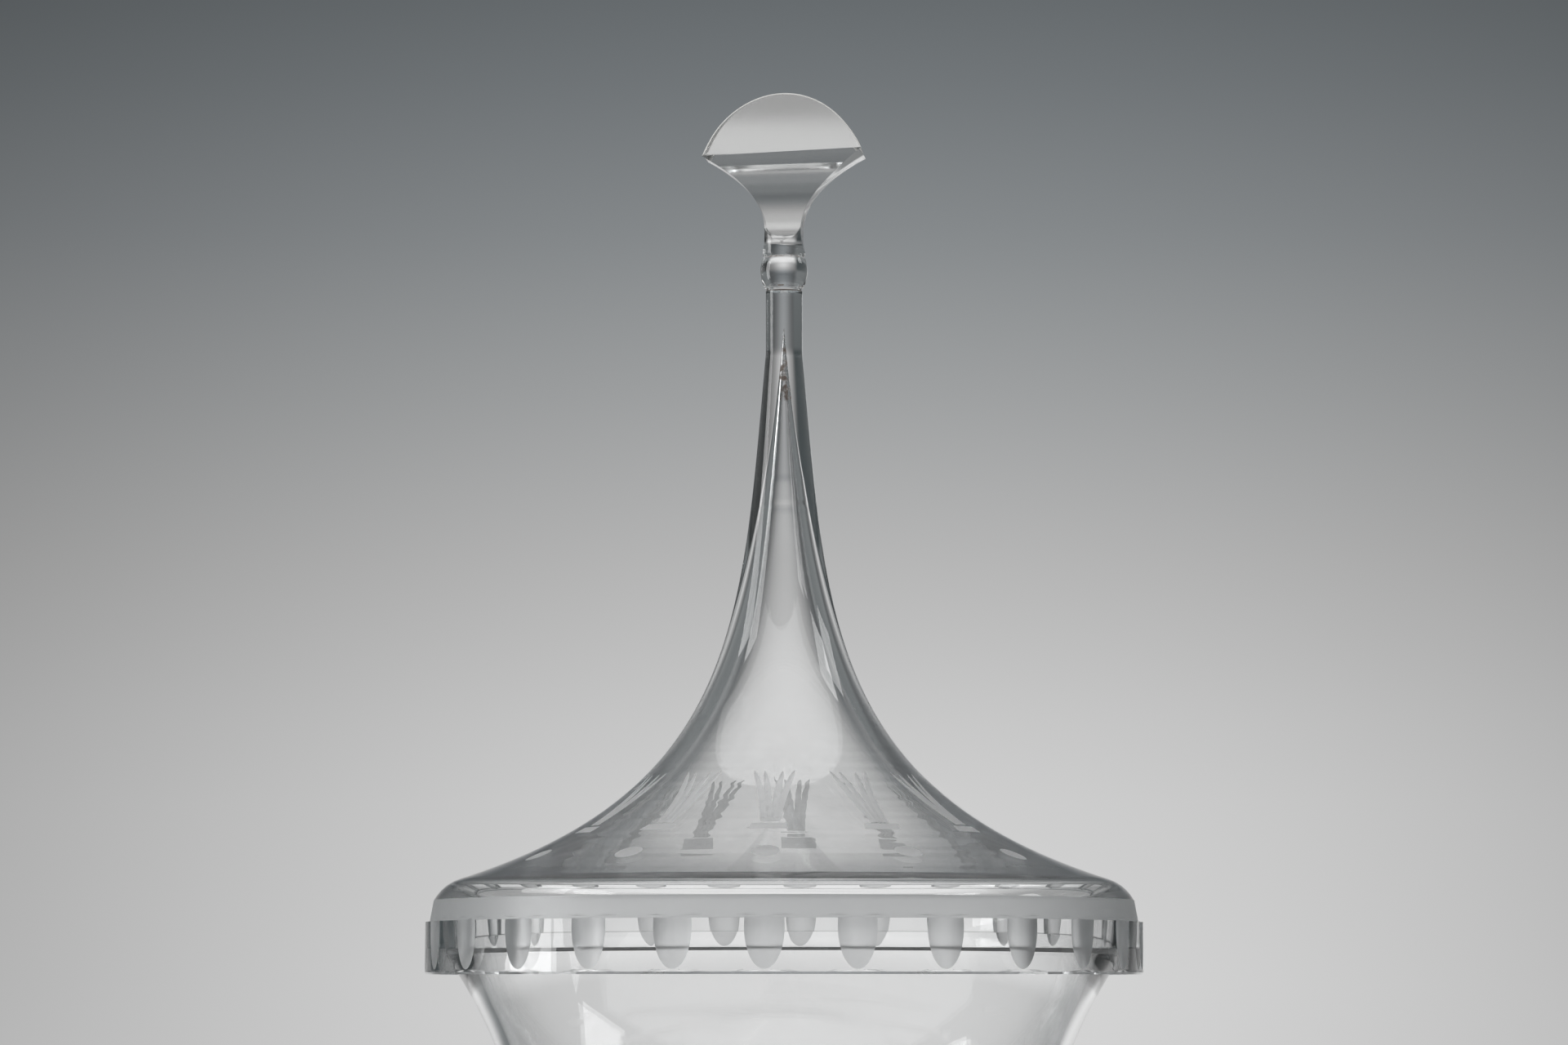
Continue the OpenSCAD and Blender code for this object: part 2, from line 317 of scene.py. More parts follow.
def mark_finishes(mesh):
    """Turns the face codes into the attributes that the glass materials read."""
    codes = np.zeros(len(mesh.polygons), np.int32)
    mesh.polygons.foreach_get("material_index", codes)
    marks = {
        "ground": MATT,
        "bevel": (BEVEL,),
        "engraved": (ENGRAVED,),
        "joint": (JOINT,),
        "residue": (RESIDUE,),
        "spire": (SPIRE,),
    }
    for label, marked in marks.items():
        layer = mesh.attributes.new(label, "FLOAT", "FACE")
        layer.data.foreach_set("value", np.isin(codes, marked).astype(np.float32))
    mesh.polygons.foreach_set("material_index", np.zeros(len(codes), np.int32))


def place(piece, node, body):
    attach(piece, body)
    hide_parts(node)


# The turned pieces
def turned_piece(name, outline, base_z, joints, material, dirty=()):
    """A turned piece whose segments listed in joints are cemented faces, and those in dirty stained."""
    codes = [JOINT if i in joints else CLEAR for i in range(len(outline) - 1)]
    for i in dirty:
        codes[i] = RESIDUE
    skin = Skin()
    turn(skin, outline, codes, even_angles(COLUMNS), base_z)
    return make_piece(name, skin, SHARP_DEG, material)


def bead_outline(h, low_r, mid_r, top_r):
    pull = mid_r + math.sqrt((mid_r - low_r) * (mid_r - top_r))
    low, top = JOINT_SLIT, h - JOINT_SLIT
    bulge = curve([(low_r, JOINT_GROOVE), (pull, h / 2), (top_r, h - JOINT_GROOVE)], 40)
    return [(0, low), (low_r - JOINT_GROOVE, low)] + bulge + [(top_r - JOINT_GROOVE, top), (0, top)]


def make_foot(material):
    top = STEM_Z - JOINT_SLIT
    run_out = np.array(FOOT_RUN_OUT)
    pull = run_out + FOOT_PULL * np.array([-1, math.tan(math.radians(FOOT_SLOPE))])
    sweep = curve([(FOOT_NECK_R, top), (FOOT_NECK_R, FOOT_NECK_PULL_H), pull, run_out], CURVE_STEPS)
    edge = arc(run_out - (0, FOOT_EDGE_R), FOOT_EDGE_R, FOOT_SLOPE, 90, 12)[1:]
    edge += arc((run_out[0], FOOT_EDGE_R), FOOT_EDGE_R, 90, 180, 12)
    dome_r = (FOOT_RING_R ** 2 + FOOT_HOLLOW_H ** 2) / (2 * FOOT_HOLLOW_H)
    open_deg = math.degrees(math.asin(FOOT_RING_R / dome_r))
    dome = arc((0, FOOT_HOLLOW_H - dome_r), dome_r, open_deg, 0, 40)
    outline = [(0, top)] + sweep + edge + dome[:-1] + [(0, FOOT_HOLLOW_H)]
    return turned_piece("foot_glass", outline, 0, [0], material)


def make_stem(material):
    height = KNOP_Z - STEM_Z
    top = height - JOINT_SLIT
    waist = [(STEM_WAIST_R, STEM_WAIST_LOW), (STEM_WAIST_R, STEM_WAIST_HIGH)]
    drawn = curve([(FOOT_NECK_R, JOINT_SLIT), *waist, (STEM_TOP_R, height - JOINT_GROOVE)], CURVE_STEPS)
    outline = [(0, JOINT_SLIT)] + drawn + [(STEM_TOP_R - JOINT_GROOVE, top), (0, top)]
    return turned_piece("stem_glass", outline, STEM_Z, [0, len(outline) - 2], material)


def make_knop(material):
    outline = bead_outline(MERESE_Z - KNOP_Z, KNOP_LOW_R, KNOP_MID_R, KNOP_TOP_R)
    return turned_piece("knop_glass", outline, KNOP_Z, [0, len(outline) - 2], material)


def make_merese(material):
    half = (BOWL_Z - MERESE_Z) / 2
    edge = arc((MERESE_R - half, half), half - JOINT_SLIT, 0, 180, 32)
    outline = [(0, 2 * half - JOINT_SLIT)] + edge + [(0, JOINT_SLIT)]
    return turned_piece("merese_glass", outline, MERESE_Z, [0, len(outline) - 2], material)


def make_bead(material):
    outline = bead_outline(FAN_Z - BEAD_Z, BEAD_LOW_R, BEAD_MID_R, BEAD_TOP_R)
    last = len(outline) - 2
    return turned_piece("bead_glass", outline, BEAD_Z, [0, last], material, dirty=[1, last - 1])


def flare_wall(t):
    """Thickness of the bowl's wall at t along the flare: it thins towards the rim."""
    return BOWL_WALL + (RIM_WALL - BOWL_WALL) * max(0.0, 1 - t / RIM_THIN) ** 2


def make_bowl(material):
    """A bell with a wall that thickens along the belly to the floor, and a flat ground rim."""
    flare = [(RIM_R, BOWL_H), (BELLY_R, (BOWL_H + BELLY_H) / 2), (BELLY_R, BELLY_H)]
    belly = [
        (BELLY_R, BELLY_H),
        (BELLY_R, BELLY_PULL_H),
        (BOWL_LOW_PULL_R, JOINT_SLIT),
        (BOWL_FOOT_R, JOINT_SLIT),
    ]
    steps = CURVE_STEPS
    outside = curve(flare, steps) + curve(belly, steps)[1:]
    inside = []
    for i in range(steps + 1):
        t = 1 - i / steps
        inside.append(inset(belly, t, BOWL_WALL + (BOWL_FLOOR - BOWL_WALL) * t ** 3))
    for i in range(1, steps + 1):
        t = 1 - i / steps
        inside.append(inset(flare, t, flare_wall(t)))
    below = [p for p in inside if p[1] < BOWL_H - RIM_MARGIN]
    share = (BOWL_H - below[-2][1]) / (below[-1][1] - below[-2][1])
    inner_edge = below[-2] + share * (below[-1] - below[-2])
    outline = [inner_edge] + outside + [(0, JOINT_SLIT), (0, BOWL_FLOOR)] + below + [inner_edge]
    codes = [CLEAR] * (len(outline) - 1)
    codes[0] = GROUND
    codes[len(outside)] = JOINT
    codes[len(outside) + 1] = None
    skin = Skin()
    turn(skin, outline, codes, even_angles(COLUMNS), BOWL_Z)
    return make_piece("bowl_glass", skin, SHARP_DEG, material)


# The lid's cover
SECTOR = math.pi / OLIVE_COUNT
OLIVE_START = math.radians(OLIVE_TURN - 90) - SECTOR
TUFT_START = math.radians(TUFT_TURN - 90) - math.pi / TUFT_COUNT
WHEEL_R = OLIVE_HALF_H ** 2 / (2 * OLIVE_DEPTH)
WHEEL_EDGE_R = 1 / (2 * OLIVE_DEPTH / OLIVE_HALF_W ** 2 - 1 / BAND_R)
SECTOR_COLUMNS = BAND_COLUMNS // OLIVE_COUNT
FLANK_STEPS = (SECTOR_COLUMNS - CUT_STEPS) // 2


def cut_radius(angle, height):
    """Distance from the axis of an olive cut's surface, at an angle from the middle of the cut."""
    middle = BAND_R - OLIVE_DEPTH + WHEEL_R
    radius = BAND_R
    for _ in range(6):
        x = radius * math.sin(angle)
        reach = WHEEL_R - WHEEL_EDGE_R + math.sqrt(max(0.0, WHEEL_EDGE_R ** 2 - x * x))
        across = middle - math.sqrt(max(0.0, reach ** 2 - (height - OLIVE_MID) ** 2))
        radius = across / math.cos(angle)
    return radius


def cut_half_angle(radius, height):
    """Half the angle that an olive cut takes out of a ring of this radius, or 0."""
    if cut_radius(0, height) >= radius:
        return 0.0
    return turning_point(lambda a: cut_radius(a, height) < radius, 0.0, SECTOR)[0]


def band_row(skin, radius, height, plain=False):
    """One ring of the band, whose columns follow the outline of the olive cuts."""
    if plain:
        local = np.linspace(-SECTOR, SECTOR, SECTOR_COLUMNS + 1)[:-1]
        radii = [radius] * SECTOR_COLUMNS
    else:
        half = cut_half_angle(radius, height)
        left = np.linspace(-SECTOR, -half, FLANK_STEPS + 1)[:-1]
        inner = np.linspace(-half, half, CUT_STEPS + 1)
        right = np.linspace(half, SECTOR, FLANK_STEPS + 1)[1:-1]
        local = np.concatenate([left, inner, right])
        inside = [min(radius, cut_radius(abs(a), height)) for a in inner]
        radii = [radius] * len(left) + inside + [radius] * len(right)
    angles = []
    for i in range(OLIVE_COUNT):
        angles.extend(OLIVE_START + (2 * i + 1) * SECTOR + local)
    return skin.ring(radii * OLIVE_COUNT, LID_Z + height, angles)


def bridge_cuts(skin, lower, upper, outside_code):
    """Faces between two rows of the band: ground inside the cuts, outside_code between them."""
    for k in range(BAND_COLUMNS):
        n = (k + 1) % BAND_COLUMNS
        inside = FLANK_STEPS <= k % SECTOR_COLUMNS < FLANK_STEPS + CUT_STEPS
        skin.face([lower[k], lower[n], upper[n], upper[k]], GROUND if inside else outside_code)


def bevel_radius(h):
    share = (h - BEVEL_LOW[1]) / (BEVEL_TOP[1] - BEVEL_LOW[1])
    return BEVEL_LOW[0] + share * (BEVEL_TOP[0] - BEVEL_LOW[0])


def add_band(skin):
    """Chamfer, band, ledge and matt bevel; returns the lowest and the highest ring."""
    cut_low = OLIVE_MID - OLIVE_HALF_H
    foot = band_row(skin, BAND_R - BAND_CHAMFER, 0.0, plain=True)
    edge = band_row(skin, BAND_R, BAND_CHAMFER, plain=True)
    skin.bridge(foot, edge, CLEAR)
    shares = np.linspace(0, 1, BAND_ROWS + 1)
    rows = [band_row(skin, BAND_R, cut_low + (BAND_H - cut_low) * u * u) for u in shares]
    skin.bridge(edge, rows[0], CLEAR)
    for a, b in zip(rows, rows[1:]):
        bridge_cuts(skin, a, b, CLEAR)

    ledge = [rows[-1]]
    for share in np.linspace(0, 1, LEDGE_ROWS + 1)[1:]:
        radius = BAND_R + share * (BEVEL_LOW[0] - BAND_R)
        ledge.append(band_row(skin, radius, BAND_H + share * (BEVEL_LOW[1] - BAND_H)))
    low, top = BEVEL_LOW[1], BEVEL_TOP[1]
    high = turning_point(lambda h: cut_radius(0, h) < bevel_radius(h), low, top)[1]
    for share in BEVEL_CUT_ROWS:
        h = low + share * (high - low)
        ledge.append(band_row(skin, bevel_radius(h), h))
    for a, b in zip(ledge, ledge[1:]):
        bridge_cuts(skin, a, b, BEVEL)

    last = ledge[-1]
    for h in np.linspace(high + BEVEL_CLEARANCE, top, BEVEL_ROWS):
        row = band_row(skin, bevel_radius(h), h, plain=True)
        skin.bridge(last, row, BEVEL)
        last = row
    return foot, last


def spire_pulls():
    """The pull points of the cover's outer curve, and the middle of the shoulder's arc."""
    drop = math.radians(SHOULDER_DROP)
    slope = math.radians(COVER_SLOPE)
    centre = np.array(BEVEL_TOP) - SHOULDER_R * np.array([math.sin(drop), math.cos(drop)])
    end = centre + SHOULDER_R * np.array([math.sin(slope), math.cos(slope)])
    pull = (SPIRE_PULL_R, end[1] + (end[0] - SPIRE_PULL_R) * math.tan(slope))
    return [(NECK_R, SPIRE_H), (SPIRE_PULL_R, SPIRE_PULL_H), pull, end], centre


class Cover:
    """The cover's outer curve, by the distance s up along it from the foot of the tufts."""

    def __init__(self, pulls):
        self.pulls = pulls
        self.t = np.linspace(0, 1, 2001)
        points = np.array([bezier(pulls, t) for t in self.t])
        steps = np.linalg.norm(np.diff(points, axis=0), axis=1)
        down = np.concatenate([[0], np.cumsum(steps)])
        self.r, self.h = points[:, 0], points[:, 1]
        self.s = np.interp(-TUFT_BASE_H, -self.h, down) - down

    def t_at(self, s):
        return float(np.interp(-s, -self.s, self.t))

    def radius_at(self, s):
        return float(np.interp(-s, -self.s, self.r))

    def s_at_height(self, h):
        return float(np.interp(-h, -self.h, self.s))

    def normal_at_height(self, h):
        d = heading(self.pulls, float(np.interp(-h, -self.h, self.t)))
        return -d[1], d[0]


def blade(base_x, tip_x, length, steps=14):
    """A pointed leaf that bends outward: its edge points, and cut points along its middle."""
    bend = (base_x * BLADE_BEND, length * BLADE_BEND_AT)
    middle = curve([(base_x, 0.0), bend, (tip_x, length)], steps)
    left, right = [], []
    for i, p in enumerate(middle):
        t = i / steps
        half = (BLADE_HALF_W * (1 - t * t) + BLADE_SWELL * t) * math.sqrt(1 - t ** 3)
        ahead = middle[min(i + 1, steps)] - middle[max(i - 1, 0)]
        across = np.array([-ahead[1], ahead[0]]) / np.linalg.norm(ahead)
        left.append(p + half * across)
        right.append(p - half * across)
    edge = right[:-1] + [middle[-1]] + left[-2::-1]
    return edge, [(p, BLADE_DEPTH) for p in middle[1:-1]]


def dense(corners, step=0.4):
    """The corners of a closed outline with points added along its sides."""
    found = []
    for a, b in zip(corners, corners[1:] + corners[:1]):
        a, b = np.array(a, float), np.array(b, float)
        count = max(1, round(float(np.linalg.norm(b - a)) / step))
        found.extend(a + (b - a) * i / count for i in range(count))
    return found


def bar():
    """The wide cut under a tuft, with one slanted end."""
    half, far_end = 3.1, -3.9
    top, low, slant = -0.5, -2.6, -2.2
    corners = [(-half, top), (half, top), (half, low), (far_end, low), (far_end, slant)]
    floor = [((x, (top + low) / 2), BAR_DEPTH) for x in np.linspace(0.4 - half, half - 0.8, 11)]
    return dense(corners), floor


def printy(s):
    """A round shallow cut."""
    turns = np.linspace(0, 2 * math.pi, 33)[:-1]
    edge = [np.array([PRINTY_R * math.cos(a), s + PRINTY_R * math.sin(a)]) for a in turns]
    inner = [((0.0, s), PRINTY_DEPTH)]
    for share in (0.35, 0.7):
        for a in turns[::2]:
            p = (share * PRINTY_R * math.cos(a), s + share * PRINTY_R * math.sin(a))
            inner.append((p, PRINTY_DEPTH * (1 - share ** 2)))
    return edge, inner


def inside_polygon(p, polygon):
    hit = False
    for (x0, y0), (x1, y1) in zip(polygon, polygon[1:] + polygon[:1]):
        if (y0 > p[1]) != (y1 > p[1]) and p[0] < x0 + (p[1] - y0) / (y1 - y0) * (x1 - x0):
            hit = not hit
    return hit


def sector_shapes(cover):
    """The cuts of one sector, each as (edge points, inner points with depth), in (across, up)."""
    return [blade(*sizes) for sizes in BLADES] + [bar(), printy(cover.s_at_height(PRINTY_H))]


def drawn_cuts(cover):
    """The cuts of one sector, drawn flat: points, the depth of each, edges and closed outlines."""
    def flat(p):
        return np.array([p[0] / cover.radius_at(p[1]) * BELT_SCALE, p[1]])

    points, depths, edges, polygons = [], [], [], []
    for edge, inner in sector_shapes(cover):
        first = len(points)
        polygon = [flat(p) for p in edge]
        points.extend(polygon)
        depths.extend([0.0] * len(polygon))
        edges.extend((first + i, first + (i + 1) % len(polygon)) for i in range(len(polygon)))
        points.extend(flat(p) for p, _ in inner)
        depths.extend(d for _, d in inner)
        polygons.append([tuple(q) for q in polygon])
    return points, depths, edges, polygons


def belt_grid(drawn, low_s, top_s):
    """Points over one sector, drawn flat: all along its border, and inside it clear of the cuts' points."""
    columns = COLUMNS // TUFT_COUNT
    rows = round((top_s - low_s) / BELT_ROW)
    half = math.pi / TUFT_COUNT
    grid = []
    for j in range(rows + 1):
        for i in range(columns + 1):
            across = (-half + 2 * half * i / columns) * BELT_SCALE
            q = np.array([across, low_s + (top_s - low_s) * j / rows])
            on_border = i in (0, columns) or j in (0, rows)
            if on_border or np.min(np.linalg.norm(drawn - q, axis=1)) > BELT_CLEARANCE:
                grid.append(q)
    return grid


def ornament_sector(cover, low_s, top_s):
    """Flat triangulation of one sector: points (angle, s, depth), triangles, and which are cut."""
    points, depths, edges, polygons = drawn_cuts(cover)
    points += belt_grid(np.array(points), low_s, top_s)
    made = delaunay_2d_cdt([Vector(p) for p in points], edges, [], 0, 1e-6)
    verts, faces, source = made[0], made[2], made[3]
    placed = []
    for v, names in zip(verts, source):
        depth = max((depths[k] for k in names if k < len(depths)), default=0.0)
        placed.append((v[0] / BELT_SCALE, v[1], depth))
    cut = []
    for f in faces:
        middle = np.mean([verts[i] for i in f], axis=0)
        cut.append(any(inside_polygon(middle, polygon) for polygon in polygons))
    return placed, faces, cut


def add_ornament(skin, cover, low_s, top_s):
    """The engraved belt of the cover: one sector, repeated round the lid."""
    placed, faces, cut = ornament_sector(cover, low_s, top_s)
    shape = [(a, *inset(cover.pulls, cover.t_at(s), depth)) for a, s, depth in placed]
    for i in range(TUFT_COUNT):
        middle = TUFT_START + (2 * i + 1) * math.pi / TUFT_COUNT
        spots = [(middle + a, r, LID_Z + h) for a, r, h in shape]
        ids = skin.add([(r * math.cos(a), r * math.sin(a), z) for a, r, z in spots])
        for f, is_cut in zip(faces, cut):
            skin.face([ids[k] for k in f], ENGRAVED if is_cut else SPIRE)


def ripple(h):
    """Unevenness of the blown inside at a height, in millimetres."""
    swell = RIPPLE * math.exp(-((h - RIPPLE_H) / RIPPLE_SPREAD) ** 2)
    waves = sum(share * math.sin(h * rate + start) for share, rate, start in RIPPLE_WAVES)
    rings = sum(RING_SWELL * math.exp(-((h - at) / RING_SPREAD) ** 2) for at in RING_HEIGHTS)
    return swell * waves + rings


def cover_wall(t):
    """Thickness of the lid's wall at t along the cover's curve: it thins towards the shoulder."""
    return LID_WALL + (SHOULDER_WALL - LID_WALL) * max(0.0, (t - COVER_THIN) / (1 - COVER_THIN)) ** 2


def hollow_outline(pulls):
    """The inside of the lid from the seat's inner edge up to the needle point."""
    end = inset(pulls, 1.0, cover_wall(1.0))
    run_out = end - inset(pulls, 0.996, cover_wall(0.996))
    slope = math.asin(-run_out[1] / np.linalg.norm(run_out))
    turn_r = (BORE_R - end[0]) / (1 - math.sin(slope))
    turn_c = end - turn_r * np.array([math.sin(slope), math.cos(slope)])
    lean = math.tan(math.radians(BORE_LEAN))
    bore_heights = np.linspace(SEAT_H, turn_c[1], 7)[:-1]
    outline = [np.array([BORE_R - lean * (turn_c[1] - h), h]) for h in bore_heights]
    outline += arc(turn_c, turn_r, 90, math.degrees(slope), 28)
    steps = 260
    for i in range(1, steps + 1):
        t = 1 - i / steps
        p = inset(pulls, t, cover_wall(t))
        p = inset(pulls, t, cover_wall(t) + ripple(p[1]))
        if p[1] >= NEEDLE_FOOT_H:
            break
        outline.append(p)
    foot = outline[-1]
    rise = (foot - outline[-8]) / (foot[1] - outline[-8][1])
    pull = foot + NEEDLE_PULL * (NEEDLE_TOP - foot[1]) * rise
    needle = curve([foot, pull, (0.0, NEEDLE_TOP)], CURVE_STEPS)[1:]
    for p in needle:
        outline.append(p - np.array([ripple(p[1]), 0.0]) if p[0] > NEEDLE_TIP_R else p)
    return outline


def add_cover(skin, cover, shoulder_c, angles):
    """The outside of the lid from the neck's joint down over the shoulder; returns the lowest ring."""
    low_s = cover.s_at_height(BELT_LOW_H)
    top_s = TUFT_LENGTH + BELT_MARGIN
    top, groove = NECK_TOP - JOINT_SLIT, NECK_TOP - JOINT_GROOVE
    cap = skin.rings([(NECK_R - JOINT_GROOVE, top), (NECK_R, groove)], angles, LID_Z)
    skin.bridge(skin.pole(LID_Z + top), cap[0], JOINT)
    neck = skin.rings([(NECK_R, h) for h in np.linspace(groove, SPIRE_H, 12)[1:-1]], angles, LID_Z)
    upper = skin.rings(curve(cover.pulls, 120, 0.0, cover.t_at(top_s)), angles, LID_Z)
    skin.join(cap + neck + upper, CLEAR)
    add_ornament(skin, cover, low_s, top_s)
    lower = skin.rings(curve(cover.pulls, 14, cover.t_at(low_s), 1.0), angles, LID_Z)
    shoulder = arc(shoulder_c, SHOULDER_R, COVER_SLOPE, SHOULDER_DROP, 24)[1:-1]
    rows = lower + skin.rings(shoulder, angles, LID_Z)
    skin.join(rows, CLEAR)
    return rows[-1]


def add_inside(skin, pulls, band_foot, angles):
    """The inside of the skirt, the seat and the hollow up to the needle point, with dirt at its end."""
    under = skin.rings([(SKIRT_R, 0.0), (SKIRT_R, SEAT_H * 0.5), (SKIRT_R, SEAT_H)], angles, LID_Z)
    skin.bridge(band_foot, under[0], CLEAR)
    hollow = hollow_outline(pulls)
    inside = skin.rings(hollow[:-1], angles, LID_Z)
    clean = sum(1 for p in hollow if p[1] < RESIDUE_LOW)
    skin.join(under + inside[:clean], CLEAR)
    skin.join(inside[clean - 1:], RESIDUE)
    skin.bridge(inside[-1], skin.pole(LID_Z + hollow[-1][1]), RESIDUE)


def make_lid(material):
    pulls, shoulder_c = spire_pulls()
    cover = Cover(pulls)
    step = 2 * math.pi / COLUMNS
    shift = round((OLIVE_START - TUFT_START) / step) * step
    angles = even_angles(COLUMNS, TUFT_START + shift)
    skin = Skin()
    cover_foot = add_cover(skin, cover, shoulder_c, angles)
    band_foot, band_top = add_band(skin)
    skin.bridge(cover_foot, band_top, CLEAR)
    add_inside(skin, pulls, band_foot, angles)
    piece = make_piece("lid_glass", skin, SHARP_DEG, material)
    polish_spire(piece.data, cover)
    return piece


def polish_spire(mesh, cover):
    """Exact normals on the polished ground of the engraved belt."""
    spire = np.zeros(len(mesh.polygons), np.float32)
    mesh.attributes["spire"].data.foreach_get("value", spire)
    normals = np.zeros((len(mesh.loops), 3))
    known = {}
    for polygon in mesh.polygons:
        if not spire[polygon.index]:
            continue
        for k in polygon.loop_indices:
            x, y, z = mesh.vertices[mesh.loops[k].vertex_index].co
            h = round(z / MM - LID_Z, 4)
            if h not in known:
                known[h] = cover.normal_at_height(h)
            out, up = known[h]
            reach = math.hypot(x, y)
            normals[k] = (out * x / reach, out * y / reach, up)
    mesh.normals_split_custom_set([tuple(n) for n in normals])


# The fan finial
FAN_ARC_H = FAN_H - FAN_ARC_TALL
FAN_ARC_WIDE = FAN_HALF_W / math.sqrt(1 - ((RIDGE_H - FAN_ARC_H) / FAN_ARC_TALL) ** 2)


def fan_arc_x(h, inward=0.0):
    """Half width of the roof at a height: an upright ellipse, set in a little."""
    edge = 1 - inward / FAN_ARC_WIDE
    return FAN_ARC_WIDE * math.sqrt(max(0.0, edge ** 2 - ((h - FAN_ARC_H) / FAN_ARC_TALL) ** 2))


def roof_heights(steps):
    """Heights from the ridge to the top of the arc, closer together towards the top."""
    turns = np.linspace(0, math.pi / 2, steps + 1)
    return [RIDGE_H + (FAN_H - RIDGE_H) * math.sin(a) for a in turns]


def fan_curves():
    """Half width, half depth and blank radius of the fan, each as (sizes, heights)."""
    waist = (FAN_WAIST_R, FAN_WAIST_H)
    flank = (FAN_WAIST_R, FAN_WAIST_H + FAN_SPREAD)
    width = [(FAN_BASE_R, 0)]
    width += curve([(FAN_BASE_R, FAN_BASE_H / 2), (FAN_WAIST_R, FAN_BASE_H), waist], 20)
    width += curve([waist, flank, (FAN_HALF_W, RIDGE_H)], 80)
    width += [(fan_arc_x(h), h) for h in roof_heights(200)]
    depth = [(FAN_BASE_R, 0)]
    depth += curve([(FAN_BASE_R, FACET_FOOT_H), *FACET_PULLS, (RIDGE_HALF_D, RIDGE_H)], 120)
    roof_mid = ((RIDGE_HALF_D + FAN_EDGE_R) / 2 + 2 * ROOF_BULGE, (RIDGE_H + FAN_H) / 2)
    depth += curve([(RIDGE_HALF_D, RIDGE_H), roof_mid, (FAN_EDGE_R, FAN_H)], CURVE_STEPS)
    reach = math.hypot(FAN_HALF_W, RIDGE_HALF_D) + 1
    blank = [(FAN_BASE_R - FAN_BASE_ROUND[0], 0), (FAN_BASE_R, FAN_BASE_ROUND[1])]
    blank += curve([(FAN_BASE_R, FAN_BASE_H), (FAN_BASE_R, flank[1]), (reach, RIDGE_H)], CURVE_STEPS)
    blank += [(reach, FAN_H)]
    return [np.array(c).T for c in (width, depth, blank)]


FAN_SIDE_STEPS = 6
FAN_ROUND_STEPS = 10
FAN_FRONT_STEPS = 14


def fan_quarter(x, y, blank):
    """A quarter of a level section of the fan, from the side (x, 0) round to the front (0, y)."""
    x, y = min(x, blank), min(y, blank)
    if math.hypot(x, y) <= blank:
        side_y, front_x = y, x
        corner = [(x, y)] * FAN_ROUND_STEPS
    else:
        side_y = math.sqrt(max(0.0, blank ** 2 - x * x))
        front_x = math.sqrt(max(0.0, blank ** 2 - y * y))
        start, end = math.atan2(side_y, x), math.atan2(y, front_x)
        turns = np.linspace(start, end, FAN_ROUND_STEPS + 1)[1:]
        corner = [(blank * math.cos(a), blank * math.sin(a)) for a in turns]
    side = [(x, v) for v in np.linspace(0, side_y, FAN_SIDE_STEPS + 1)]
    return side + corner + [(u, y) for u in np.linspace(front_x, 0, FAN_FRONT_STEPS + 1)[1:]]


def roof_quarter(x, y, h):
    """A quarter of a level section of the roof, whose front edge has a narrow matt chamfer that the satin
    glass paints near-white cream as a painted highlight line.
    """
    def front(u):
        edge = math.hypot(u / FAN_ARC_WIDE, (h - FAN_ARC_H) / FAN_ARC_TALL)
        return y - max(0.0, FAN_CHAMFER - FAN_ARC_WIDE * (1 - edge))

    inner_x = fan_arc_x(h, FAN_CHAMFER)
    points = [(x, v) for v in np.linspace(0, front(x), FAN_SIDE_STEPS + 1)]
    points += [(u, front(u)) for u in np.linspace(x, inner_x, FAN_ROUND_STEPS + 1)[1:]]
    return points + [(u, front(u)) for u in np.linspace(inner_x, 0, FAN_FRONT_STEPS + 1)[1:]]


def fan_ring(quarter):
    second = [(-u, v) for u, v in quarter[-2::-1]]
    half = quarter + second
    return half + [(u, -v) for u, v in half[-2:0:-1]]


def fan_column_codes(corner):
    """The finish of each column of a row of the fan, with this one at the corners."""
    quarter = [CLEAR] * FAN_SIDE_STEPS + [corner] * FAN_ROUND_STEPS + [GROUND] * FAN_FRONT_STEPS
    half = quarter + quarter[::-1]
    return half + half[::-1]


def make_fan(material):
    (width, width_h), (depth, depth_h), (blank, blank_h) = fan_curves()
    heights = [JOINT_SLIT] + list(np.linspace(FAN_BASE_ROUND[1], FAN_BASE_H, 5))
    heights += list(np.linspace(FAN_BASE_H, RIDGE_H, 91)[1:])
    heights += roof_heights(CURVE_STEPS)[1:]
    skin = Skin()
    # The roof's corner columns are its edge chamfer, painted near-white cream by the satin glass: a painted
    # highlight line along the edge
    lower_codes, roof_codes = fan_column_codes(CLEAR), fan_column_codes(BEVEL)
    rows = []
    for h in heights:
        x, y = np.interp(h, width_h, width), np.interp(h, depth_h, depth)
        if h > RIDGE_H:
            ring = fan_ring(roof_quarter(fan_arc_x(h), float(y), h))
        else:
            ring = fan_ring(fan_quarter(float(x), float(y), float(np.interp(h, blank_h, blank))))
        lift = RIDGE_TILT * math.exp(-((h - RIDGE_H) / RIDGE_TILT_SPREAD) ** 2)
        rows.append(skin.add([(u, v, FAN_Z + h + lift * u * max(0.0, -v / y)) for u, v in ring]))
    skin.bridge(skin.pole(FAN_Z + heights[0]), rows[0], JOINT)
    for h, a, b in zip(heights, rows, rows[1:]):
        codes = lower_codes if h < RIDGE_H else roof_codes
        for k, code in enumerate(codes):
            n = (k + 1) % len(codes)
            skin.face([a[k], a[n], b[n], b[k]], code)
    return make_piece("fan_glass", skin, FAN_SHARP_DEG, material)


# Materials
def node(tree, kind, inputs=None, **settings):
    """A new shader node with its settings and the values of its inputs, by name or number."""
    made = tree.nodes.new(kind)
    for key, value in settings.items():
        setattr(made, key, value)
    for key, value in (inputs or {}).items():
        if isinstance(value, bpy.types.NodeSocket):
            tree.links.new(value, made.inputs[key])
        else:
            made.inputs[key].default_value = value
    return made


def math_node(tree, operation, a, b=0.0):
    return node(tree, "ShaderNodeMath", {0: a, 1: b}, operation=operation).outputs[0]


def mix_floats(tree, factor, a, b):
    return node(tree, "ShaderNodeMix", {0: factor, 2: a, 3: b}, data_type="FLOAT").outputs[0]


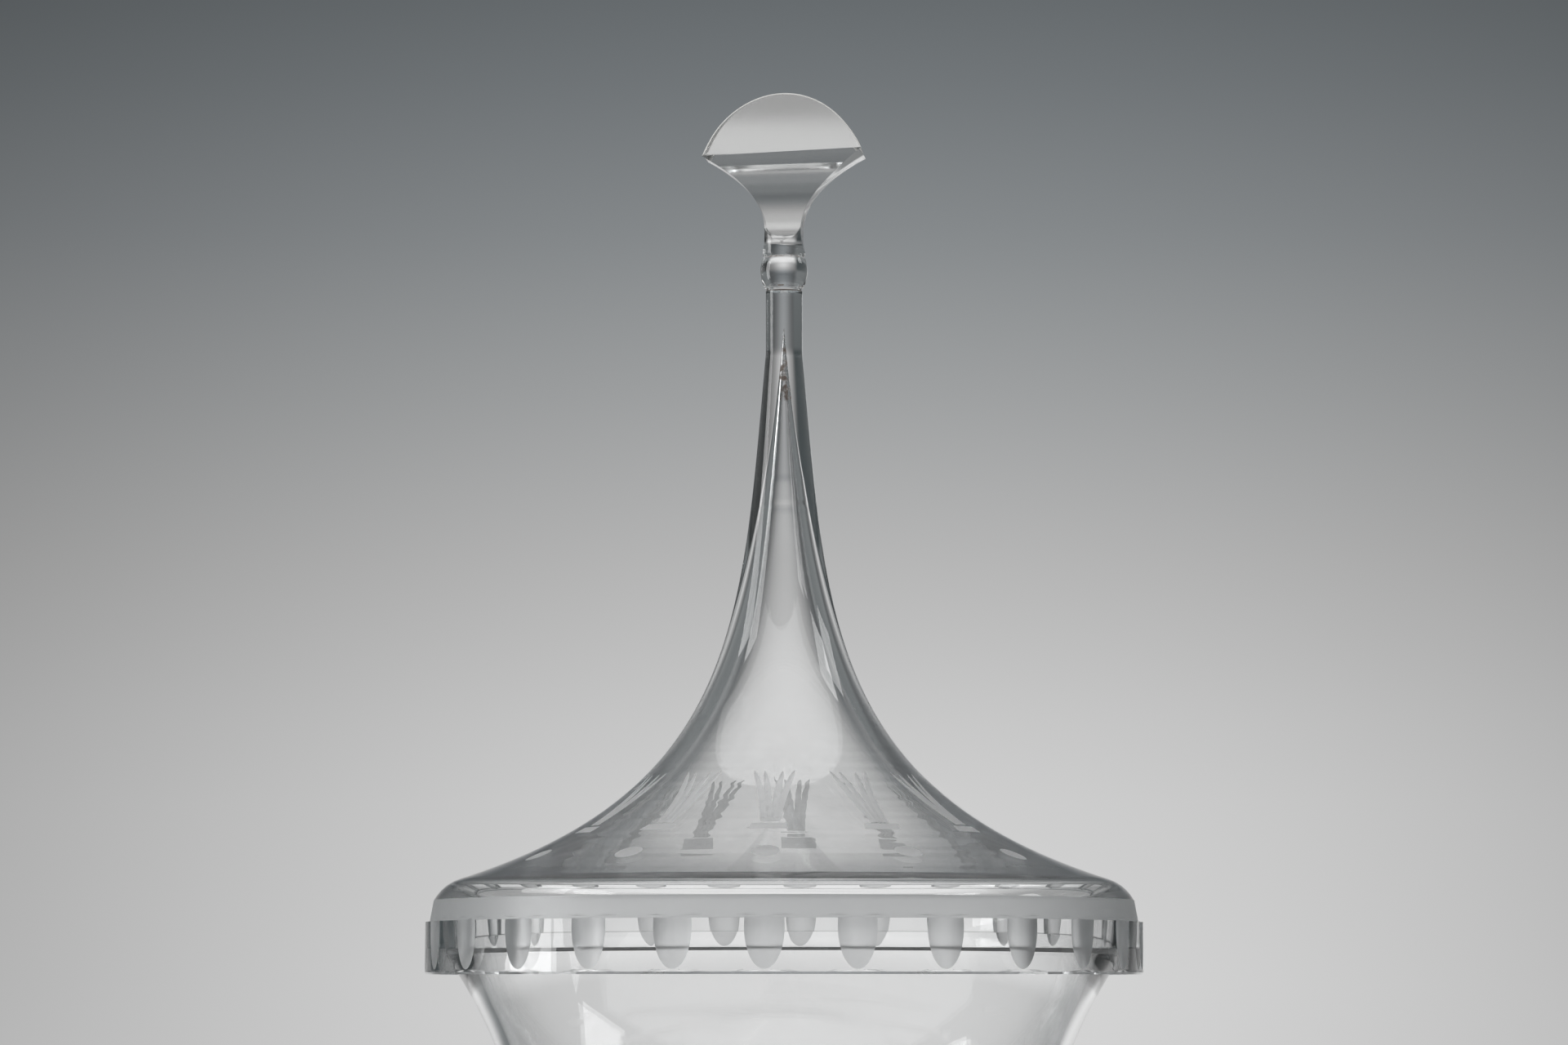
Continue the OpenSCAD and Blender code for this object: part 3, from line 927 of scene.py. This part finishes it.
def mix_colours(tree, factor, a, b):
    return node(tree, "ShaderNodeMix", {0: factor, 6: a, 7: b}, data_type="RGBA").outputs[2]


def face_mark(tree, label):
    return node(tree, "ShaderNodeAttribute", attribute_name=label).outputs["Fac"]


def noise(tree, scale, detail, stretch=(1, 1, 1)):
    where = node(tree, "ShaderNodeTexCoord").outputs["Object"]
    scaled = node(tree, "ShaderNodeMapping", {"Vector": where, "Scale": stretch}).outputs[0]
    inputs = {"Vector": scaled, "Scale": scale, "Detail": detail}
    return node(tree, "ShaderNodeTexNoise", inputs).outputs["Fac"]


def ramp(tree, value, low, high, to_low, to_high):
    inputs = {"Value": value, "From Min": low, "From Max": high, "To Min": to_low, "To Max": to_high}
    return node(tree, "ShaderNodeMapRange", inputs).outputs[0]


def smooth_ramp(tree, value, low, high):
    inputs = {"Value": value, "From Min": low, "From Max": high}
    return node(tree, "ShaderNodeMapRange", inputs, interpolation_type="SMOOTHSTEP").outputs[0]


WHITE = (1, 1, 1, 1)
GLASS_IOR = 1.54
GLASS_TINT = (0.70, 0.80, 0.83, 1)
GLASS_DENSITY = 5.0
RESIDUE_BROWN = (0.16, 0.09, 0.05, 1)
RESIDUE_ROUGH = 0.7
ENGRAVED_BODY = 0.45
GRIT_DEPTH = 0.00004
# How fine the patterns are: patches for each metre
SMUDGE_SCALE = 70
GRIT_SCALE = 900
CRUST_SCALE = 700
WEAR_SCALE = 300
# The values of a pattern's noise between which it goes from none to full
SMUDGE_NOISE = (0.6, 0.8)
GRIT_NOISE = (0.3, 0.7)
CRUST_NOISE = (0.48, 0.58)
WEAR_NOISE = (0.35, 0.65)
SMUDGE_ROUGH = 0.04
CRUST_COVER = 0.85
# How dull the lid's cover is, and the heights in metres where that starts, is full and ends
WEAR = 0.07
WEAR_LOW = 0.184
WEAR_LOW_FULL = 0.187
WEAR_TOP_FULL = 0.196
WEAR_TOP = 0.222


def cover_wear(tree):
    """Fine scratches and dust that dull the lid's cover, less and less up the spire."""
    where = node(tree, "ShaderNodeTexCoord").outputs["Object"]
    height = node(tree, "ShaderNodeSeparateXYZ", {0: where}).outputs[2]
    over = ramp(tree, height, WEAR_LOW, WEAR_LOW_FULL, 0.0, 1.0)
    under = ramp(tree, height, WEAR_TOP, WEAR_TOP_FULL, 0.0, 1.0)
    patches = ramp(tree, noise(tree, WEAR_SCALE, 4), *WEAR_NOISE, 0.6 * WEAR, 1.4 * WEAR)
    return math_node(tree, "MULTIPLY", math_node(tree, "MULTIPLY", over, under), patches)


def glass_roughness(tree, marks, grit, ground_rough):
    """Polished with faint smudges, matt where it is ground and dull under dirt."""
    smudge = ramp(tree, noise(tree, SMUDGE_SCALE, 4), *SMUDGE_NOISE, 0.0, SMUDGE_ROUGH)
    matt = ramp(tree, grit, *GRIT_NOISE, 0.9 * ground_rough, 1.1 * ground_rough)
    rough = mix_floats(tree, marks["ground"], smudge, matt)
    return mix_floats(tree, marks["dirt"], rough, RESIDUE_ROUGH)


def glass_body(tree, marks, ground_body, bevel_body_and_edge_highlight):
    """The share of light that a face scatters back instead of letting it through."""
    body = math_node(tree, "MULTIPLY", marks["ground"], ground_body)
    body = mix_floats(tree, marks["bevel"], body, bevel_body_and_edge_highlight)
    body = mix_floats(tree, marks["engraved"], body, ENGRAVED_BODY)
    body = math_node(tree, "MAXIMUM", body, marks["dirt"])
    return math_node(tree, "MAXIMUM", body, cover_wear(tree))


def glass_colour(tree, marks, ground_tint, bevel_tint_and_edge_highlight):
    colour = mix_colours(tree, marks["ground"], WHITE, ground_tint)
    # On the fan this colour paints a highlight line along the roof's edge; on the lid it is the matt
    # bevel's own grey
    colour = mix_colours(tree, marks["bevel"], colour, bevel_tint_and_edge_highlight)
    colour = mix_colours(tree, marks["engraved"], colour, WHITE)
    return mix_colours(tree, marks["dirt"], colour, RESIDUE_BROWN)


def glass_material(name, ground_rough, ground_body, bevel_body_and_edge_highlight, ground_tint, bevel_tint_and_edge_highlight, grain, streak):
    """Lead glass, polished where nothing is marked, matt on ground faces and unseen at joints."""
    material = bpy.data.materials.new(name)
    material.use_nodes = True
    tree = material.node_tree
    tree.nodes.clear()
    labels = ("ground", "bevel", "engraved", "joint", "residue")
    marks = {label: face_mark(tree, label) for label in labels}
    crust = ramp(tree, noise(tree, CRUST_SCALE, 4), *CRUST_NOISE, 0.0, CRUST_COVER)
    marks["dirt"] = math_node(tree, "MULTIPLY", marks["residue"], crust)
    grit = noise(tree, GRIT_SCALE, 3, streak)
    lift = math_node(tree, "MULTIPLY", grit, marks["ground"])
    bump = node(tree, "ShaderNodeBump", {"Height": lift, "Strength": grain, "Distance": GRIT_DEPTH})
    body = glass_body(tree, marks, ground_body, bevel_body_and_edge_highlight)

    shader = node(tree, "ShaderNodeBsdfPrincipled", {
        "Base Color": glass_colour(tree, marks, ground_tint, bevel_tint_and_edge_highlight),
        "Roughness": glass_roughness(tree, marks, grit, ground_rough),
        "IOR": GLASS_IOR,
        "Transmission Weight": math_node(tree, "SUBTRACT", 1.0, body),
        "Alpha": math_node(tree, "SUBTRACT", 1.0, marks["joint"]),
        "Normal": bump.outputs[0],
    })
    volume = node(tree, "ShaderNodeVolumeAbsorption", {"Color": GLASS_TINT, "Density": GLASS_DENSITY})
    out = node(tree, "ShaderNodeOutputMaterial")
    tree.links.new(shader.outputs[0], out.inputs["Surface"])
    tree.links.new(volume.outputs[0], out.inputs["Volume"])
    return material


FLOOR_GLOW = 0.12
FLOOR_DARK = (0.84, 0.84, 0.835, 1)
FLOOR_PALE = (0.88, 0.88, 0.875, 1)
FLOOR_ROUGH = 0.7
FLOOR_SCALE = 30
FLOOR_NOISE = (0.3, 0.7)
FLOOR_FADE_START = 0.22
FLOOR_FADE_END = 0.5
FLOOR_R = 1.1
FLOOR_Z = -0.00005


def floor_material():
    """A pale matt floor that fades out into the pale horizon."""
    material = bpy.data.materials.new("pale_floor")
    material.use_nodes = True
    tree = material.node_tree
    tree.nodes.clear()
    grain = ramp(tree, noise(tree, FLOOR_SCALE, 4), *FLOOR_NOISE, 0.0, 1.0)
    colour = mix_colours(tree, grain, FLOOR_DARK, FLOOR_PALE)
    matt = node(tree, "ShaderNodeBsdfPrincipled", {"Base Color": colour, "Roughness": FLOOR_ROUGH})
    path = node(tree, "ShaderNodeLightPath").outputs
    seen = math_node(tree, "MAXIMUM", path["Is Camera Ray"], path["Is Glossy Ray"])
    seen = math_node(tree, "MAXIMUM", seen, path["Is Transmission Ray"])
    strength = math_node(tree, "MULTIPLY", seen, FLOOR_GLOW)
    glow = node(tree, "ShaderNodeEmission", {"Color": colour, "Strength": strength})
    pale = node(tree, "ShaderNodeAddShader", {0: matt.outputs[0], 1: glow.outputs[0]})
    clear = node(tree, "ShaderNodeBsdfTransparent")
    where = node(tree, "ShaderNodeTexCoord").outputs["Object"]
    reach = node(tree, "ShaderNodeVectorMath", {0: where}, operation="LENGTH").outputs["Value"]
    fade = smooth_ramp(tree, reach, FLOOR_FADE_START, FLOOR_FADE_END)
    mixed = node(tree, "ShaderNodeMixShader", {0: fade, 1: pale.outputs[0], 2: clear.outputs[0]})
    out = node(tree, "ShaderNodeOutputMaterial")
    tree.links.new(mixed.outputs[0], out.inputs["Surface"])
    return material


# Stage, light and camera
CAMERA_TURN = math.radians(6.4)
CAMERA_DISTANCE = 0.7936
CAMERA_HEIGHT = 0.1668
CAMERA_PITCH = math.radians(6.02)
CAMERA_LENS = 99.9
SENSOR_WIDTH = 36.0

BACKDROP_TURN = math.radians(5.2)
BACKDROP_SPREAD = math.radians(10.5)
# Share of the backdrop's brightness that is left beside it, and beside it on the floor
SIDE_SEEN = 0.3
FLOOR_SEEN = 0.85
FLOOR_SINE = -0.15
# The glass, not the camera, sees dark flags on both sides, with dim grey over and under them.
# The pairs are their soft edges, as sines of the elevation
FLAG_SHIFT = math.radians(3)
FLAG_START = math.radians(27)
FLAG_END = math.radians(105)
FLAG_SOFT = 0.1
FLAG_LOW = (-0.20, -0.14)
FLAG_TOP = (0.20, 0.08)
FLAG_LEFT = (0.040, 0.050, 0.053, 1)
FLAG_RIGHT = (0.013, 0.015, 0.015, 1)
DIM_LOW = (-0.55, -0.45)
DIM_GREY = (0.170, 0.182, 0.185, 1)
# Brightness of the backdrop by the sine of the elevation, from below the horizon to high up
BACKDROP = (
    (-0.40, 0.44), (-0.23, 0.48), (-0.17, 0.90), (-0.08, 0.90), (-0.035, 0.68), (0.0, 0.665),
    (0.04, 0.62), (0.06, 0.575), (0.095, 0.47), (0.133, 0.356), (0.17, 0.254), (0.203, 0.184),
    (0.225, 0.145), (0.28, 0.19), (0.45, 0.24), (0.60, 0.27), (0.68, 0.60), (0.80, 0.60),
)
# The level at which it starts to be cool, how far below that it is full, and what red and blue change
COOL_LEVEL = 0.42
COOL_SPREAD = 0.27
COOL_RED = 0.095
COOL_BLUE = 0.06


def backdrop_colour(level):
    """Neutral where it is pale and a little cool where it is dark."""
    cool = max(0.0, min(1.0, (COOL_LEVEL - level) / COOL_SPREAD))
    return (level * (1 - COOL_RED * cool), level, level * (1 + COOL_BLUE * cool), 1)


def backdrop_light(tree, away, z):
    """The backdrop's gradient by elevation, which falls off to both sides."""
    low, high = BACKDROP[0][0], BACKDROP[-1][0]
    level = node(tree, "ShaderNodeValToRGB", {0: ramp(tree, z, low, high, 0.0, 1.0)})
    stops = level.color_ramp.elements
    while len(stops) < len(BACKDROP):
        stops.new(1.0)
    for stop, (sine, brightness) in zip(stops, BACKDROP):
        stop.position = (sine - low) / (high - low)
        stop.color = backdrop_colour(brightness)

    square = math_node(tree, "MULTIPLY", away, away)
    fall = math_node(tree, "EXPONENT", math_node(tree, "MULTIPLY", square, -0.5 / BACKDROP_SPREAD ** 2))
    spot = mix_floats(tree, fall, SIDE_SEEN, 1.0)
    spot = mix_floats(tree, ramp(tree, z, 0.0, FLOOR_SINE, 0.0, 1.0), spot, FLOOR_SEEN)
    inputs = {0: level.outputs[0], "Scale": spot}
    return node(tree, "ShaderNodeVectorMath", inputs, operation="SCALE").outputs[0]


def flag_share(tree, away, z):
    """Where the flags hide the surroundings from the glass: 1 on both sides and 0 for the camera."""
    apart = math_node(tree, "ABSOLUTE", math_node(tree, "SUBTRACT", away, FLAG_SHIFT))
    inner = smooth_ramp(tree, apart, FLAG_START - FLAG_SOFT, FLAG_START + FLAG_SOFT)
    outer = smooth_ramp(tree, apart, FLAG_END + 2 * FLAG_SOFT, FLAG_END - FLAG_SOFT)
    share = math_node(tree, "MULTIPLY", inner, outer)
    share = math_node(tree, "MULTIPLY", share, smooth_ramp(tree, z, *DIM_LOW))
    seen = node(tree, "ShaderNodeLightPath").outputs["Is Camera Ray"]
    return math_node(tree, "MULTIPLY", share, math_node(tree, "SUBTRACT", 1.0, seen))


def flag_colour(tree, away, z):
    """Dark level with the object, on each side in its own colour, and dim grey over and under that."""
    over, under = smooth_ramp(tree, z, *FLAG_LOW), smooth_ramp(tree, z, *FLAG_TOP)
    level_with = math_node(tree, "MULTIPLY", over, under)
    sides = mix_colours(tree, smooth_ramp(tree, away, -2 * FLAG_SOFT, 2 * FLAG_SOFT), FLAG_LEFT, FLAG_RIGHT)
    return mix_colours(tree, level_with, DIM_GREY, sides)


def make_world():
    world = bpy.data.worlds.new("studio")
    bpy.context.scene.world = world
    world.use_nodes = True
    tree = world.node_tree
    tree.nodes.clear()
    where = node(tree, "ShaderNodeTexCoord").outputs["Generated"]
    inputs = {"Vector": where, "Angle": -BACKDROP_TURN}
    turned = node(tree, "ShaderNodeVectorRotate", inputs, rotation_type="Z_AXIS").outputs[0]
    x, y, z = node(tree, "ShaderNodeSeparateXYZ", {0: turned}).outputs
    away = math_node(tree, "ARCTAN2", x, y)
    backdrop = backdrop_light(tree, away, z)
    colour = mix_colours(tree, flag_share(tree, away, z), backdrop, flag_colour(tree, away, z))
    shader = node(tree, "ShaderNodeBackground", {"Color": colour, "Strength": 1.0})
    out = node(tree, "ShaderNodeOutputWorld")
    tree.links.new(shader.outputs[0], out.inputs["Surface"])


def make_floor():
    bm = bmesh.new()
    bmesh.ops.create_circle(bm, cap_ends=True, segments=96, radius=FLOOR_R)
    mesh = bpy.data.meshes.new("floor")
    bm.to_mesh(mesh)
    bm.free()
    floor = bpy.data.objects.new("floor", mesh)
    floor.location.z = FLOOR_Z
    mesh.materials.append(floor_material())
    bpy.context.scene.collection.objects.link(floor)


def softbox(name, centre, aim, size, radiance):
    """A soft lamp of this width and height, seen in reflections but not by the camera."""
    lamp = bpy.data.lights.new(name, "AREA")
    lamp.shape = "RECTANGLE"
    lamp.size, lamp.size_y = size
    lamp.energy = radiance * math.pi * size[0] * size[1]
    placed = bpy.data.objects.new(name, lamp)
    placed.location = centre
    placed.rotation_euler = (Vector(aim) - Vector(centre)).to_track_quat("-Z", "Y").to_euler()
    placed.visible_camera = False
    bpy.context.scene.collection.objects.link(placed)


def make_lights():
    softbox("overhead", centre=(0, -0.64, 1.35), aim=(0, -0.64, 0), size=(2.6, 1.72), radiance=0.9)
    softbox("left_strip", centre=(-1.08, -0.2, 0.42), aim=(0, 0, 0.25), size=(0.40, 0.9), radiance=3.6)
    softbox("right_window", centre=(1.17, 0.25, 0.96), aim=(0, 0, 0.2), size=(0.46, 0.30), radiance=3.2)


def make_camera():
    data = bpy.data.cameras.new("camera")
    data.lens = CAMERA_LENS
    data.sensor_width = SENSOR_WIDTH
    camera = bpy.data.objects.new("camera", data)
    camera.location = (
        CAMERA_DISTANCE * math.sin(CAMERA_TURN),
        -CAMERA_DISTANCE * math.cos(CAMERA_TURN),
        CAMERA_HEIGHT,
    )
    camera.rotation_euler = (math.pi / 2 + CAMERA_PITCH, 0, CAMERA_TURN)
    bpy.context.scene.collection.objects.link(camera)
    bpy.context.scene.camera = camera


def set_light_paths():
    cycles = bpy.context.scene.cycles
    cycles.max_bounces = 96
    cycles.transmission_bounces = 96
    cycles.glossy_bounces = 12
    cycles.transparent_max_bounces = 32


def main():
    scene = bpy.context.scene
    scene.view_settings.view_transform = "Standard"
    set_light_paths()
    make_camera()
    make_world()
    make_floor()
    make_lights()
    clear = glass_material(
        "clear_glass",
        ground_rough=0.36,
        ground_body=0.2,
        bevel_body_and_edge_highlight=0.45,
        ground_tint=(0.86, 0.87, 0.875, 1),
        bevel_tint_and_edge_highlight=(0.76, 0.77, 0.775, 1),
        grain=0.0,
        streak=(1, 1, 1),
    )
    satin = glass_material(
        "satin_glass",
        ground_rough=0.15,
        ground_body=0.08,
        # Near-opaque cream on the fan's edge chamfer: a painted highlight line along the roof's edge
        bevel_body_and_edge_highlight=0.9,
        ground_tint=(0.76, 0.76, 0.755, 1),
        bevel_tint_and_edge_highlight=(1, 0.99, 0.96, 1),
        grain=0.02,
        streak=(0.08, 1, 1),
    )
    place(make_foot(clear), "foot", "goblet")
    place(make_stem(clear), "stem", "goblet")
    place(make_knop(clear), "stem_knop", "goblet")
    place(make_merese(clear), "bowl_merese", "goblet")
    place(make_bowl(clear), "bowl", "goblet")
    place(make_lid(clear), "lid_cover", "lid")
    place(make_bead(clear), "collar_bead", "lid")
    place(make_fan(satin), "finial_fan", "lid")


main()
